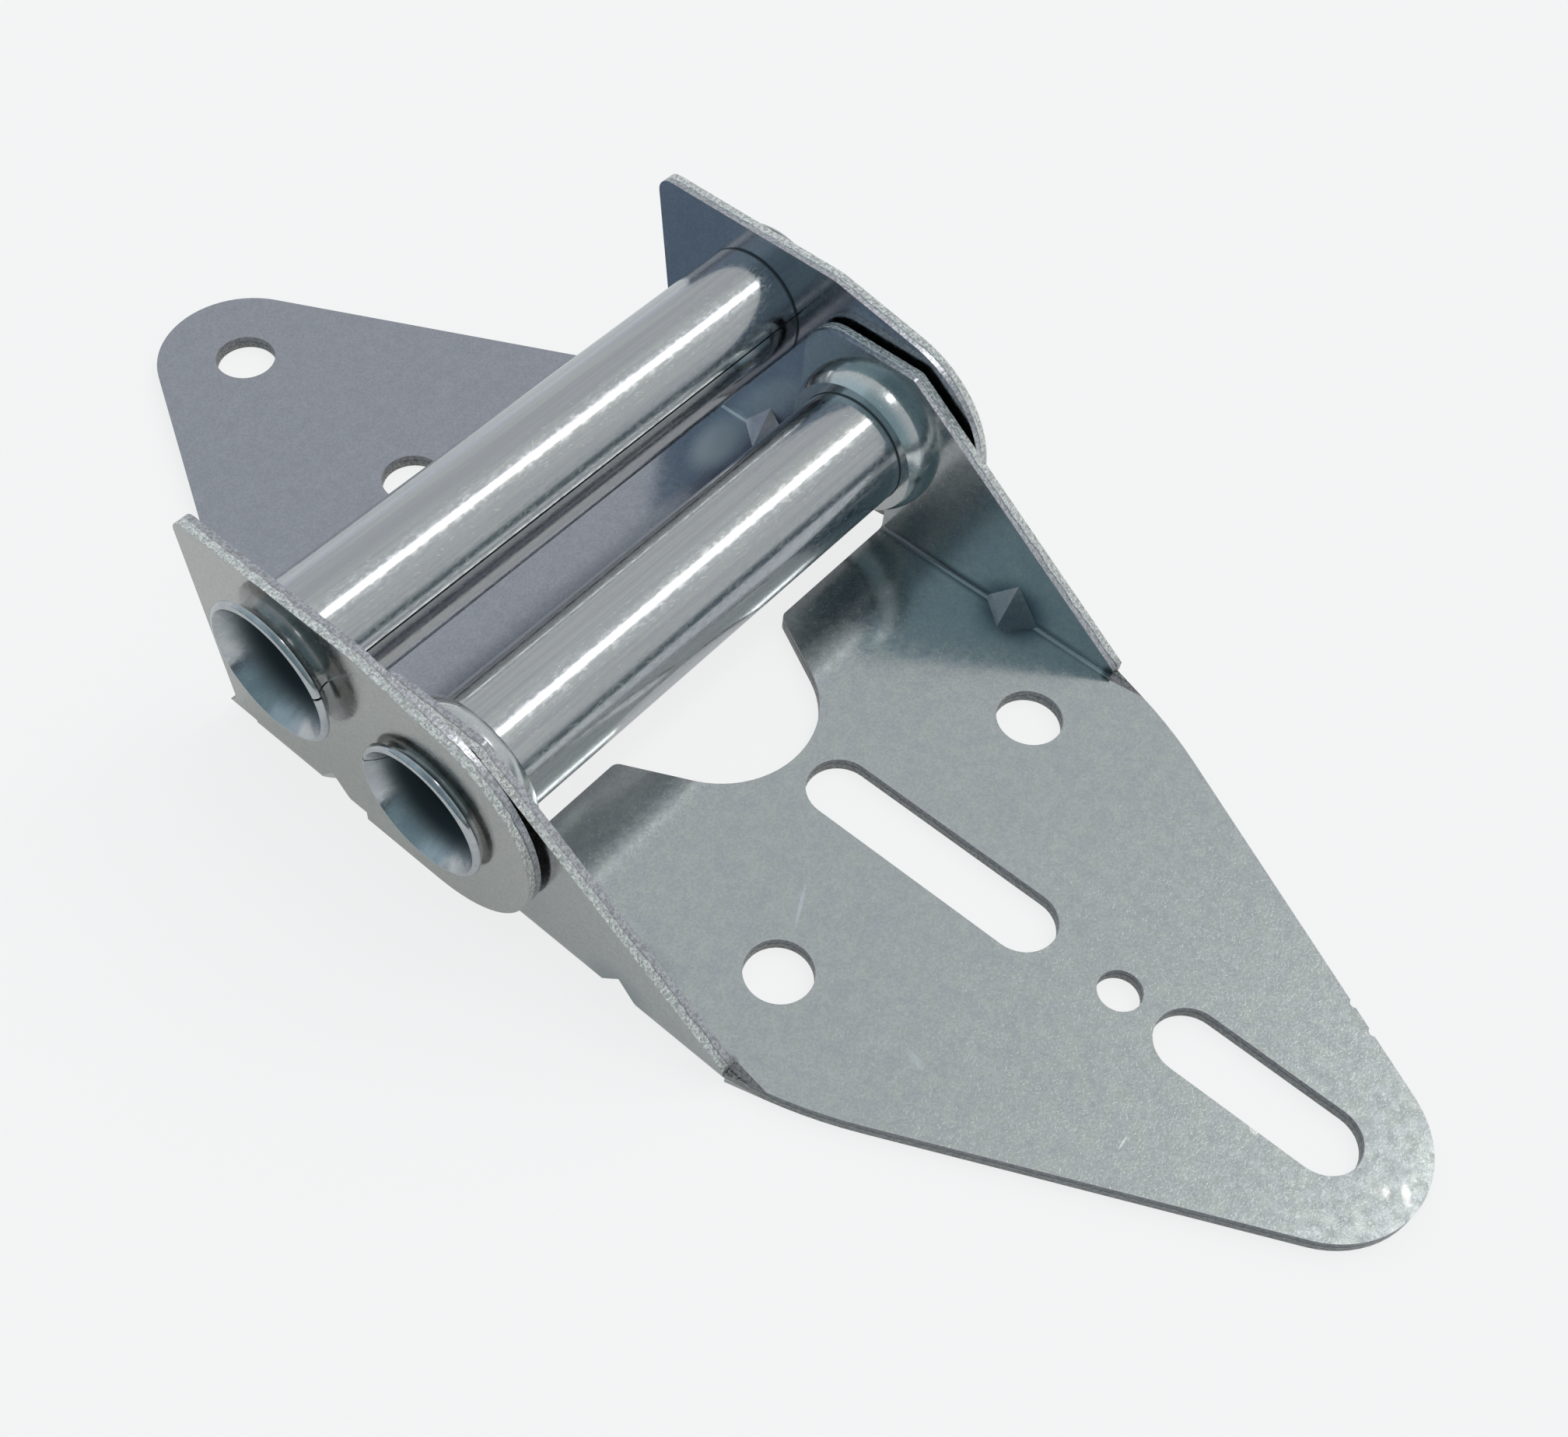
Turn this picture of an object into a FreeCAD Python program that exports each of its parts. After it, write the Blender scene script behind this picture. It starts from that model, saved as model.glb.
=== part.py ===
import FreeCAD, Part
import math
import os
from FreeCAD import Vector

# Garage door hinge, lying open and flat
# Origin: middle of the pivot tube. +X along the pivot axis, +Y towards the carrier leaf
# +Z up from the leaves, which lie flat at one height. Millimetres
# Heights are counted from the leaves' underside until the finished pieces are moved

# Sheet and bends
sheet = 1.9
bend_inside = 0.6

# Widths across the ears, and the two clearances of the nested leaves
carrier_width = 82.0
ear_gap = 0.75
running_clearance = 0.08

# Axes of the two tubes
pivot_height = 16.0
roller_height = 22.2
axis_spacing = 22.2

# Rolled tubes with flared ends
tube_diameter = 15.8
tube_wall = 1.8
flare_lip = 0.7
flare_entry = 2.2
seam_width = 0.25
roller_flare_reach = 2.7
roller_flare_diameter = 19.0
roller_seam_angle = 160.0
pivot_flare_reach = 1.6
pivot_flare_diameter = 18.3
pivot_seam_angle = 15.0

# Carrier leaf, seen from above
carrier_front = 12.0
carrier_apex = 80.9
carrier_apex_radius = 12.3
carrier_taper = 28.6
carrier_hole = 8.3
carrier_hole_pitch = 33.8

# Carrier ears, seen from the side
carrier_ear_rise = 2.2
carrier_ear_front = 9.6
carrier_ear_back = 38.7
ear_tip_radius = 1.9
ear_brow_radius = 2.0
ear_nose_radius = 15.4
foot_back = 34.6
foot_toe = 5.3
foot_radius = 2.5

# Flange leaf, seen from above
flange_lip = 4.6
flange_toe = 41.4
flange_toe_inset = 0.45
flange_shoulder = 51.4
flange_shoulder_radius = 60.0
flange_apex = 93.2
flange_apex_radius = 12.3
flange_shoulder_inset = 3.4
notch_end = 20.1
notch_radius = 12.6
notch_half_angle = 27.5
notch_corner = 1.2

# Holes of the flange leaf
side_hole = 8.3
side_hole_inset = 14.15
side_hole_back = 37.6
inner_slot_near = 22.8
inner_slot_length = 35.4
inner_slot_width = 8.5
pilot_hole = 5.3
pilot_hole_step = 9.3
outer_slot_step = 5.2
outer_slot_length = 25.5
outer_slot_width = 8.5

# Flange ears, seen from the side
flange_ear_height = 28.8
flange_ear_front = 5.6
flange_ear_back = 11.0
flange_ear_corner = 5.0
flange_ear_brow_radius = 0.8
flange_ear_slope = 35.7

# Drawn collars of the flange ears
collar_length = 3.3
collar_wall = 1.35
collar_swell = 1.1
collar_mouth = 1.1

# Three-cornered darts pressed into the bends to stiffen them
dart_height = 5.0
dart_depth = 3.3
dart_half_length = 4.2
flange_dart_back = 26.0
carrier_dart_back = 17.4

# Nicks worn into one edge of the flange leaf
nick_radius = 0.6
nick_depth = 0.3
nick_places = (88.0, 91.4)

# Sizes that follow from the ones above
bend_outside = bend_inside + sheet
tube_radius = tube_diameter / 2.0
bore_radius = tube_radius - tube_wall
carrier_half = carrier_width / 2.0
flange_half = carrier_half - sheet - ear_gap
carrier_ear_height = pivot_height + ear_nose_radius + carrier_ear_rise
collar_bore = tube_radius + running_clearance
inner_slot_far = inner_slot_near + inner_slot_length
pilot_hole_back = inner_slot_far + pilot_hole_step
outer_slot_near = pilot_hole_back + outer_slot_step
outer_slot_far = outer_slot_near + outer_slot_length
beyond = 2.0 * (carrier_apex + flange_apex + carrier_width)
through = 2.0 * sheet


def to_xy(u, v):
    return Vector(u, v, 0)


def to_yz(u, v):
    return Vector(0, u, v)


def to_xz(u, v):
    return Vector(u, 0, v)


def rounded_face(corners, place):
    """Face inside a closed polygon of corners (u, v, radius), rounded where radius is not 0."""
    legs = []
    count = len(corners)
    for i in range(count):
        u, v, radius = corners[i]
        here = Vector(u, v, 0)
        before = Vector(corners[i - 1][0], corners[i - 1][1], 0)
        after = Vector(corners[(i + 1) % count][0], corners[(i + 1) % count][1], 0)
        if radius == 0:
            legs.append((here, None, here))
            continue
        back = (before - here).normalize()
        on = (after - here).normalize()
        half_angle = back.getAngle(on) / 2.0
        reach = radius / math.tan(half_angle)
        inward = (back + on).normalize()
        bulge = here + inward * (radius / math.sin(half_angle) - radius)
        legs.append((here + back * reach, bulge, here + on * reach))
    edges = []
    for i in range(count):
        start, bulge, end = legs[i]
        if bulge is not None:
            edges.append(Part.Arc(*[place(p.x, p.y) for p in (start, bulge, end)]).toShape())
        following = legs[(i + 1) % count][0]
        if end.distanceToPoint(following) > 1e-6:
            edges.append(Part.makeLine(place(end.x, end.y), place(following.x, following.y)))
    return Part.Face(Part.Wire(edges))


def lifted(face, shift, travel):
    """Solid swept by a face that is first moved by shift, then carried along travel."""
    moved = face.copy()
    moved.translate(shift)
    return moved.extrude(travel)


def mirrored(solid):
    return solid.mirror(Vector(0, 0, 0), Vector(1, 0, 0))


def straight(x0, r0, x1, r1):
    return Part.makeLine(to_xz(x0, r0), to_xz(x1, r1))


def arc_from_axis(x0, r0, x1, r1):
    """Arc that leaves (x0, r0) parallel to the axis and swings out to (x1, r1)."""
    dx = x1 - x0
    dr = r1 - r0
    radius = (dx * dx + dr * dr) / (2 * dr)
    half_swing = math.atan2(dr, abs(dx))
    middle_x = x0 + math.copysign(radius * math.sin(half_swing), dx)
    middle_r = r0 + radius * (1 - math.cos(half_swing))
    return Part.Arc(to_xz(x0, r0), to_xz(middle_x, middle_r), to_xz(x1, r1)).toShape()


def rod(y, z, radius):
    """Endless round bar along X."""
    return Part.makeCylinder(radius, 2 * beyond, Vector(-beyond, y, z), Vector(1, 0, 0))


def round_cutter(x, y, diameter):
    start = Vector(x, y, -through)
    return Part.makeCylinder(diameter / 2.0, sheet + 2 * through, start, Vector(0, 0, 1))


def slot_cutter(near, end, width):
    """Slot with round ends on the middle line of the flange leaf."""
    r = width / 2.0
    box = Part.makeBox(width, end - near - width, sheet + 2 * through)
    box.translate(Vector(-r, -end + r, -through))
    return box.fuse([round_cutter(0, -near - r, width), round_cutter(0, -end + r, width)])


# Ears and bends, common to both leaves
def ear_section(half, height):
    """Cross section of the right ear and its bend, from the end of the plate up to height."""
    cx = half - bend_outside
    cz = bend_outside
    diagonal = math.sqrt(0.5)
    outer_middle = to_xz(cx + bend_outside * diagonal, cz - bend_outside * diagonal)
    inner_middle = to_xz(cx + bend_inside * diagonal, cz - bend_inside * diagonal)
    edges = [
        Part.Arc(to_xz(cx, 0), outer_middle, to_xz(half, cz)).toShape(),
        Part.makeLine(to_xz(half, cz), to_xz(half, height)),
        Part.makeLine(to_xz(half, height), to_xz(half - sheet, height)),
        Part.makeLine(to_xz(half - sheet, height), to_xz(half - sheet, cz)),
        Part.Arc(to_xz(half - sheet, cz), inner_middle, to_xz(cx, sheet)).toShape(),
        Part.makeLine(to_xz(cx, sheet), to_xz(cx, 0)),
    ]
    return Part.Face(Part.Wire(edges))


def along_y(face, y0, y1):
    return lifted(face, Vector(0, y0, 0), Vector(0, y1 - y0, 0))


def ear_prism(corners, half):
    """Everything behind a side outline, as wide as one ear with its bend."""
    face = rounded_face(corners, to_yz)
    width = bend_outside + sheet
    return lifted(face, Vector(half - width + sheet / 2.0, 0, 0), Vector(width, 0, 0))


def wedge(x, y, z):
    """Solid in the corner at (x, y, z): one point up the ear, one on the plate, two in the bend."""
    up = Vector(x, y, z + dart_height)
    out = Vector(x - dart_depth, y, z)
    near = Vector(x, y - dart_half_length, z)
    far = Vector(x, y + dart_half_length, z)
    faces = []
    for corners in ((up, out, near), (out, up, far), (near, far, up), (far, near, out)):
        faces.append(Part.Face(Part.makePolygon(list(corners) + [corners[0]])))
    return Part.Solid(Part.Shell(faces))


def make_dart(half, y):
    """Ridge in the right bend at y, and the hollow one sheet behind it."""
    return wedge(half - sheet, y, sheet), wedge(half, y, 0)


# Carrier leaf: tapered plate with two tall outer ears
def nose_corner():
    """Where the sloping top of the ear, drawn on past the round nose, meets the nose's foot."""
    dy = carrier_ear_front
    dz = carrier_ear_height - pivot_height
    lean = math.atan2(dz, dy) + math.acos(ear_nose_radius / math.hypot(dy, dz))
    y = ear_nose_radius * (1 + math.sin(lean)) / math.cos(lean)
    return (y, pivot_height - ear_nose_radius, ear_nose_radius)


def make_carrier_leaf():
    flat = carrier_half - bend_outside
    narrowing = math.tan(math.radians(carrier_taper))
    tip = carrier_apex + carrier_apex_radius / math.sin(math.radians(carrier_taper))
    taper_start = tip - flat / narrowing
    plate = lifted(rounded_face([
        (-flat, carrier_front, 0),
        (flat, carrier_front, 0),
        (flat, taper_start, 0),
        (0, tip, carrier_apex_radius),
        (-flat, taper_start, 0),
    ], to_xy), Vector(0, 0, 0), Vector(0, 0, sheet))

    foot_end = foot_back + foot_toe
    prism = ear_prism([
        nose_corner(),
        (carrier_ear_front, carrier_ear_height, ear_brow_radius),
        (carrier_ear_back, carrier_ear_height, ear_tip_radius),
        (foot_back, bend_outside, foot_radius),
        (foot_end, sheet, 0),
        (foot_end, -through, 0),
        (carrier_front, -through, 0),
        (carrier_front, pivot_height - ear_nose_radius, 0),
    ], carrier_half)
    bent = along_y(ear_section(carrier_half, carrier_ear_height + through), carrier_front, foot_end)
    wall = Part.makeBox(sheet, carrier_front + 2 * ear_nose_radius, carrier_ear_height)
    wall.translate(Vector(carrier_half - sheet, -2 * ear_nose_radius, 0))
    ear = bent.fuse(wall).common(prism)

    # The foot of the ear follows the taper of the plate
    wide = 2 * bend_outside
    trim = rounded_face([
        (flat, taper_start, 0),
        (flat + wide, taper_start - wide / narrowing, 0),
        (flat + wide, taper_start + wide, 0),
        (flat, taper_start + wide, 0),
    ], to_xy)
    ear = ear.cut(lifted(trim, Vector(0, 0, -through), Vector(0, 0, through + bend_outside)))

    ridge, hollow = make_dart(carrier_half, carrier_dart_back)
    leaf = plate.fuse([ear, mirrored(ear), ridge, mirrored(ridge)])
    return leaf.cut([
        hollow,
        mirrored(hollow),
        rod(0, pivot_height, tube_radius),
        rod(axis_spacing, roller_height, tube_radius),
        round_cutter(0, carrier_apex, carrier_hole),
        round_cutter(0, carrier_apex - carrier_hole_pitch, carrier_hole),
    ]).removeSplitter()


# Flange leaf: tapered plate with a deep notch and two low ears inside the carrier's
def flange_slant():
    """Angle of the flange leaf's straight side, from the shoulder to the round tip."""
    across = flange_half - flange_shoulder_inset
    along = flange_apex - flange_shoulder
    reach = math.hypot(across, along)
    return math.atan2(across, along) - math.asin(flange_apex_radius / reach)


def flange_edge(y):
    """Half width of the flange leaf on its straight side, at a distance y from the pivot."""
    tip = flange_apex + flange_apex_radius / math.sin(flange_slant())
    return (tip - y) * math.tan(flange_slant())


def make_collar(x_face):
    """Collar drawn inwards from the ear whose inside lies at x_face, turned about X."""
    end = x_face - collar_length
    outer = collar_bore + collar_wall
    root = x_face + sheet / 2.0
    swollen = outer + collar_swell
    profile = Part.Wire([
        straight(end, collar_bore, end, outer),
        arc_from_axis(x_face, swollen, end, outer),
        straight(x_face, swollen, root, swollen),
        straight(root, swollen, root, collar_bore),
        straight(root, collar_bore, end, collar_bore),
    ])
    collar = Part.Face(profile).revolve(Vector(0, 0, 0), Vector(1, 0, 0), 360)
    collar.translate(Vector(0, 0, pivot_height))
    return collar


def make_mouth(x_face):
    """Cutter for the flared mouth of the collar, on the ear's outside at x_face."""
    start = Vector(x_face - collar_mouth, 0, pivot_height)
    edge = collar_bore + collar_mouth
    return Part.makeCone(collar_bore, edge, collar_mouth, start, Vector(1, 0, 0))


def make_flange_leaf():
    flat = flange_half - bend_outside
    toe_half = flange_half - flange_toe_inset
    spread = math.radians(notch_half_angle)
    notch_point = -notch_end + notch_radius - notch_radius / math.sin(spread)
    notch_half = (-flange_lip - notch_point) * math.tan(spread)
    shoulder = flange_edge(flange_shoulder)
    tip = flange_apex + flange_apex_radius / math.sin(flange_slant())
    right = [
        (notch_half, -flange_lip, notch_corner),
        (flat, -flange_lip, 0),
        (flat, -flange_toe, 0),
        (toe_half, -flange_toe, 0),
        (shoulder, -flange_shoulder, flange_shoulder_radius),
    ]
    left = [(-x, y, r) for x, y, r in reversed(right)]
    point = [(0, -tip, flange_apex_radius)]
    valley = [(0, notch_point, notch_radius)]
    outline = rounded_face(right + point + left + valley, to_xy)
    plate = lifted(outline, Vector(0, 0, 0), Vector(0, 0, sheet))

    slope = math.tan(math.radians(flange_ear_slope))
    toe_height = flange_ear_height - (flange_toe - flange_ear_front) * slope
    under = pivot_height - flange_ear_back
    prism = ear_prism([
        (-flange_toe, -through, 0),
        (-flange_toe, toe_height, 0),
        (-flange_ear_front, flange_ear_height, flange_ear_brow_radius),
        (flange_ear_back, flange_ear_height, flange_ear_corner),
        (flange_ear_back, under, flange_ear_back * 0.98),
        (-flange_lip, under, 0),
        (-flange_lip, -through, 0),
    ], flange_half)
    top = flange_ear_height + through
    bent = along_y(ear_section(flange_half, top), -flange_toe, flange_ear_back)
    ear = bent.common(prism).fuse(make_collar(flange_half - sheet))
    ear = ear.cut([rod(0, pivot_height, collar_bore), make_mouth(flange_half)])

    nicks = []
    for y in nick_places:
        x = flange_edge(y) + nick_radius - nick_depth
        nicks.append(round_cutter(x, -y, 2 * nick_radius))
    side_hole_x = flange_half - side_hole_inset
    ridge, hollow = make_dart(flange_half, -flange_dart_back)
    leaf = plate.fuse([ear, mirrored(ear), ridge, mirrored(ridge)])
    return leaf.cut(nicks + [
        hollow,
        mirrored(hollow),
        round_cutter(side_hole_x, -side_hole_back, side_hole),
        round_cutter(-side_hole_x, -side_hole_back, side_hole),
        round_cutter(0, -pilot_hole_back, pilot_hole),
        slot_cutter(inner_slot_near, inner_slot_far, inner_slot_width),
        slot_cutter(outer_slot_near, outer_slot_far, outer_slot_width),
    ]).removeSplitter()


# Rolled tube: butt seam along its length, both ends flared over the carrier's ears
def make_tube(y, z, seam_angle, flare_reach, flare_diameter):
    end = carrier_half + flare_reach
    rim = flare_diameter / 2.0
    swell = carrier_half - flare_entry
    right = [
        (arc_from_axis, (carrier_half, tube_radius, end - flare_lip, rim)),
        (straight, (end - flare_lip, rim, end, rim - flare_lip)),
        (arc_from_axis, (swell, bore_radius, end, rim - flare_lip)),
    ]
    edges = [
        straight(-carrier_half, tube_radius, carrier_half, tube_radius),
        straight(-swell, bore_radius, swell, bore_radius),
    ]
    for make_edge, (x0, r0, x1, r1) in right:
        edges.append(make_edge(x0, r0, x1, r1))
        edges.append(make_edge(-x0, r0, -x1, r1))
    profile = Part.Face(Part.Wire(Part.__sortEdges__(edges)))

    # The sheet is rolled nearly all the way round and leaves a narrow seam
    seam = math.degrees(seam_width / tube_radius)
    profile.rotate(Vector(0, 0, 0), Vector(1, 0, 0), seam_angle - 90 + seam / 2.0)
    tube = profile.revolve(Vector(0, 0, 0), Vector(1, 0, 0), 360 - seam)
    tube.translate(Vector(0, y, z))
    return tube


def make_parts():
    """The four pieces, with the origin brought up to the pivot axis."""
    roller_flare = (roller_flare_reach, roller_flare_diameter)
    pivot_flare = (pivot_flare_reach, pivot_flare_diameter)
    parts = {
        "carrier_leaf": make_carrier_leaf(),
        "flange_leaf": make_flange_leaf(),
        "roller_tube": make_tube(axis_spacing, roller_height, roller_seam_angle, *roller_flare),
        "pivot_tube": make_tube(0, pivot_height, pivot_seam_angle, *pivot_flare),
    }
    for shape in parts.values():
        shape.translate(Vector(0, 0, -pivot_height))
    return parts


os.makedirs("parts", exist_ok=True)
for name, shape in make_parts().items():
    shape.exportStep("parts/" + name + ".step")
    size = shape.BoundBox
    print(name, "solids", len(shape.Solids), "valid", shape.isValid(), "volume", round(shape.Volume, 1))
    print("  x", round(size.XMin, 2), round(size.XMax, 2), "y", round(size.YMin, 2), round(size.YMax, 2))
    print("  z", round(size.ZMin, 2), round(size.ZMax, 2))
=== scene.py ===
import logging
import math
from dataclasses import dataclass, replace
from enum import Enum

import bpy
import numpy as np
from mathutils import Matrix

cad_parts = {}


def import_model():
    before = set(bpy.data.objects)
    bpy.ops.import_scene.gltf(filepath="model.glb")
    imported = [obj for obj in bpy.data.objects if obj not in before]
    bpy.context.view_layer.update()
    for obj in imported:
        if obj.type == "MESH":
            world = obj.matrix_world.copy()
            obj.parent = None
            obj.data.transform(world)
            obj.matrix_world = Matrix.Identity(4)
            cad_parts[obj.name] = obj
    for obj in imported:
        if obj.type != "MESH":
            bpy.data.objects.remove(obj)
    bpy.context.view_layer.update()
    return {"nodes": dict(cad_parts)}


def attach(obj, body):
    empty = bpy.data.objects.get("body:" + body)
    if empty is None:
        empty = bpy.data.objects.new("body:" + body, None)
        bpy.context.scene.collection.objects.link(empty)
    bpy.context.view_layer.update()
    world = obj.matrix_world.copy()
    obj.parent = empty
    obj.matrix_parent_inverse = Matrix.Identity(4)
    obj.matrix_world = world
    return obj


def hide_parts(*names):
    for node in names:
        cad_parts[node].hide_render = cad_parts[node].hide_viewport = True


# Garage door hinge of zinc-plated sheet steel, dressed on the fixed frame of its solids
# Metres, +X along the pivot axis, +Y towards the carrier leaf, origin on the pivot axis

MM = 0.001
LOG = logging.getLogger("garage_door_hinge")

SHEET = 1.9 * MM
EAR_GAP = 0.75 * MM
CARRIER_HALF = 41.0 * MM
FLANGE_HALF = CARRIER_HALF - SHEET - EAR_GAP
SHARP_ANGLE = math.radians(32.0)

Array = np.ndarray
Colour = tuple[float, float, float]
Point = tuple[float, float, float]
Span = tuple[float, float]
Socket = bpy.types.NodeSocket


class Body(Enum):
    """The two bodies of the hinge that turn on each other."""

    CARRIER = "carrier"
    FLANGE = "flange"


class Graph:
    """Short hand for wiring up one node tree."""

    def __init__(self, tree: bpy.types.NodeTree) -> None:
        """Takes a tree and empties it."""
        self.tree = tree
        self.tree.nodes.clear()

    def add(self, kind: str, sockets: dict | None = None, **settings: object) -> bpy.types.Node:
        """Adds one node.

        Args:
            kind: the node's type name, such as ShaderNodeTexNoise.
            sockets: input name or number to a constant or to another node's output.
            settings: properties of the node itself.

        Returns:
            The new node.
        """
        node = self.tree.nodes.new(kind)
        for name, value in settings.items():
            setattr(node, name, value)
        for name, value in (sockets or {}).items():
            if isinstance(value, Socket):
                self.tree.links.new(value, node.inputs[name])
            else:
                node.inputs[name].default_value = value
        return node

    def math(self, operation: str, *values: object) -> Socket:
        """Adds a maths node on numbers or sockets and returns its output."""
        sockets = dict(enumerate(values))
        return self.add("ShaderNodeMath", sockets, operation=operation).outputs[0]

    def ramp(self, value: Socket, span: Span, onto: Span = (0.0, 1.0)) -> Socket:
        """Carries a value smoothly from one span onto another.

        Args:
            value: the number to carry.
            span: the two values between which it changes, in either order.
            onto: what it becomes at each of the two.

        Returns:
            The carried value, which stays level beyond the span.
        """
        sockets = {
            "Value": value,
            "From Min": span[0],
            "From Max": span[1],
            "To Min": onto[0],
            "To Max": onto[1],
        }
        node = self.add("ShaderNodeMapRange", sockets, interpolation_type="SMOOTHSTEP")
        return node.outputs["Result"]

    def noise(self, place: Socket, scale: float, detail: float = 2.0, roughness: float = 0.5) -> Socket:
        """Adds a noise texture with a scale in waves per metre and returns its value."""
        sockets = {"Vector": place, "Scale": scale, "Detail": detail, "Roughness": roughness}
        return self.add("ShaderNodeTexNoise", sockets).outputs["Fac"]

    def crystals(self, place: Socket, scale: float) -> bpy.types.bpy_prop_collection:
        """Adds cells with a scale in cells per metre and returns their random X, Y and Z."""
        cells = self.add("ShaderNodeTexVoronoi", {"Vector": place, "Scale": scale})
        return self.parts(cells.outputs["Color"])

    def parts(self, vector: Socket) -> bpy.types.bpy_prop_collection:
        """Splits a vector or colour and returns its outputs X, Y and Z."""
        return self.add("ShaderNodeSeparateXYZ", {0: vector}).outputs

    def place(self) -> Socket:
        """Returns the object's own coordinates, in metres."""
        return self.add("ShaderNodeTexCoord").outputs["Object"]

    def drawn(self, place: Socket, along: float) -> Socket:
        """Draws a pattern out along X by a factor under 1 and returns the new coordinates."""
        sockets = {"Vector": place, "Scale": (along, 1.0, 1.0)}
        return self.add("ShaderNodeMapping", sockets).outputs[0]

    def attribute(self, name: str) -> Socket:
        """Returns the number that the mesh holds under a name at each of its points."""
        return self.add("ShaderNodeAttribute", attribute_name=name).outputs["Fac"]

    def blend(self, factor: object, first: object, second: object) -> Socket:
        """Mixes two colours.

        Args:
            factor: 0 for the first colour and 1 for the second, a number or a socket.
            first: a colour or a socket.
            second: a colour or a socket.

        Returns:
            The mixed colour.
        """
        node = self.add("ShaderNodeMix", {0: factor}, data_type="RGBA")
        for number, value in ((6, first), (7, second)):
            if isinstance(value, Socket):
                self.tree.links.new(value, node.inputs[number])
            else:
                node.inputs[number].default_value = (*value, 1.0)
        return node.outputs[2]

    def shade(self, colour: Socket, factor: Socket) -> Socket:
        """Multiplies a colour by a factor and returns it."""
        sockets = {0: colour, "Scale": factor}
        return self.add("ShaderNodeVectorMath", sockets, operation="SCALE").outputs[0]

    def bump(self, height: Socket, depth: float, under: Socket | None = None) -> Socket:
        """Adds a bump.

        Args:
            height: the relief, from 0 to 1.
            depth: its depth in metres.
            under: the normal of another bump that this one lies on.

        Returns:
            The normal.
        """
        sockets = {"Height": height, "Distance": depth}
        if under is not None:
            sockets["Normal"] = under
        return self.add("ShaderNodeBump", sockets).outputs["Normal"]

    def seen(self, direct: float, mirrored: float) -> Socket:
        """Gives the camera's rays one share, and glossy and transmission rays another.

        Args:
            direct: the share where the camera looks straight at the surface.
            mirrored: the share where metal or glass shows it.

        Returns:
            The share, which is 0 for every other ray.
        """
        path = self.add("ShaderNodeLightPath").outputs
        shiny = self.math("MAXIMUM", path["Is Glossy Ray"], path["Is Transmission Ray"])
        shiny = self.math("MULTIPLY", shiny, mirrored)
        return self.math("MAXIMUM", shiny, self.math("MULTIPLY", path["Is Camera Ray"], direct))


def new_material(name: str) -> tuple[bpy.types.Material, Graph]:
    """Makes an empty node material.

    Args:
        name: the material's name.

    Returns:
        The material, and the graph that wires it.
    """
    material = bpy.data.materials.new(name)
    material.use_nodes = True
    return material, Graph(material.node_tree)


def placed(name: str, data: bpy.types.ID) -> bpy.types.Object:
    """Makes an object at the origin and links it to the scene.

    Args:
        name: the object's name.
        data: its mesh, lamp or camera.

    Returns:
        The object.
    """
    thing = bpy.data.objects.new(name, data)
    bpy.context.scene.collection.objects.link(thing)
    return thing


def facing(right: Array, up: Array, back: Array, place: Array) -> Matrix:
    """Turns and places a camera or a lamp.

    Args:
        right: unit vector to its right.
        up: unit vector upwards.
        back: unit vector against the way it looks or shines.
        place: where it stands, in metres.

    Returns:
        Its world matrix.
    """
    rows = np.stack([right, up, back, place], axis=1).tolist()
    return Matrix(rows + [[0.0, 0.0, 0.0, 1.0]])


@dataclass(frozen=True)
class Mark:
    """A worn spot, scratch, smudge, painted shade or painted light: an ellipse on the leaf, in
    millimetres and degrees.

    Its mask is strength from the middle out to core, a share of the ellipse, and fades to 0
    at the rim. The mask lays colour over the zinc, and scuff times the mask roughens it.
    """

    centre: Point
    size: Point
    turn: float
    colour: Colour
    strength: float = 1.0
    scuff: float = 0.0
    core: float = 0.3

    def mask(self, g: Graph, place: Socket) -> Socket:
        """Draws the ellipse with a soft rim.

        Args:
            g: the finish's node tree.
            place: object coordinates.

        Returns:
            Its strength in the core of the ellipse, and 0 outside the rim.
        """
        own = g.add("ShaderNodeMapping", {
            "Vector": place,
            "Location": tuple(v * MM for v in self.centre),
            "Rotation": (0.0, 0.0, math.radians(self.turn)),
            "Scale": tuple(v * MM for v in self.size),
        }, vector_type="TEXTURE").outputs[0]
        reach = g.add("ShaderNodeVectorMath", {0: own}, operation="LENGTH").outputs["Value"]
        return g.ramp(reach, (1.0, self.core), (0.0, self.strength))

    def both_sides(self) -> tuple["Mark", "Mark"]:
        """Returns the mark and its mirror image in the hinge's middle plane."""
        x, y, z = self.centre
        return self, replace(self, centre=(-x, y, z), turn=-self.turn)


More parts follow.
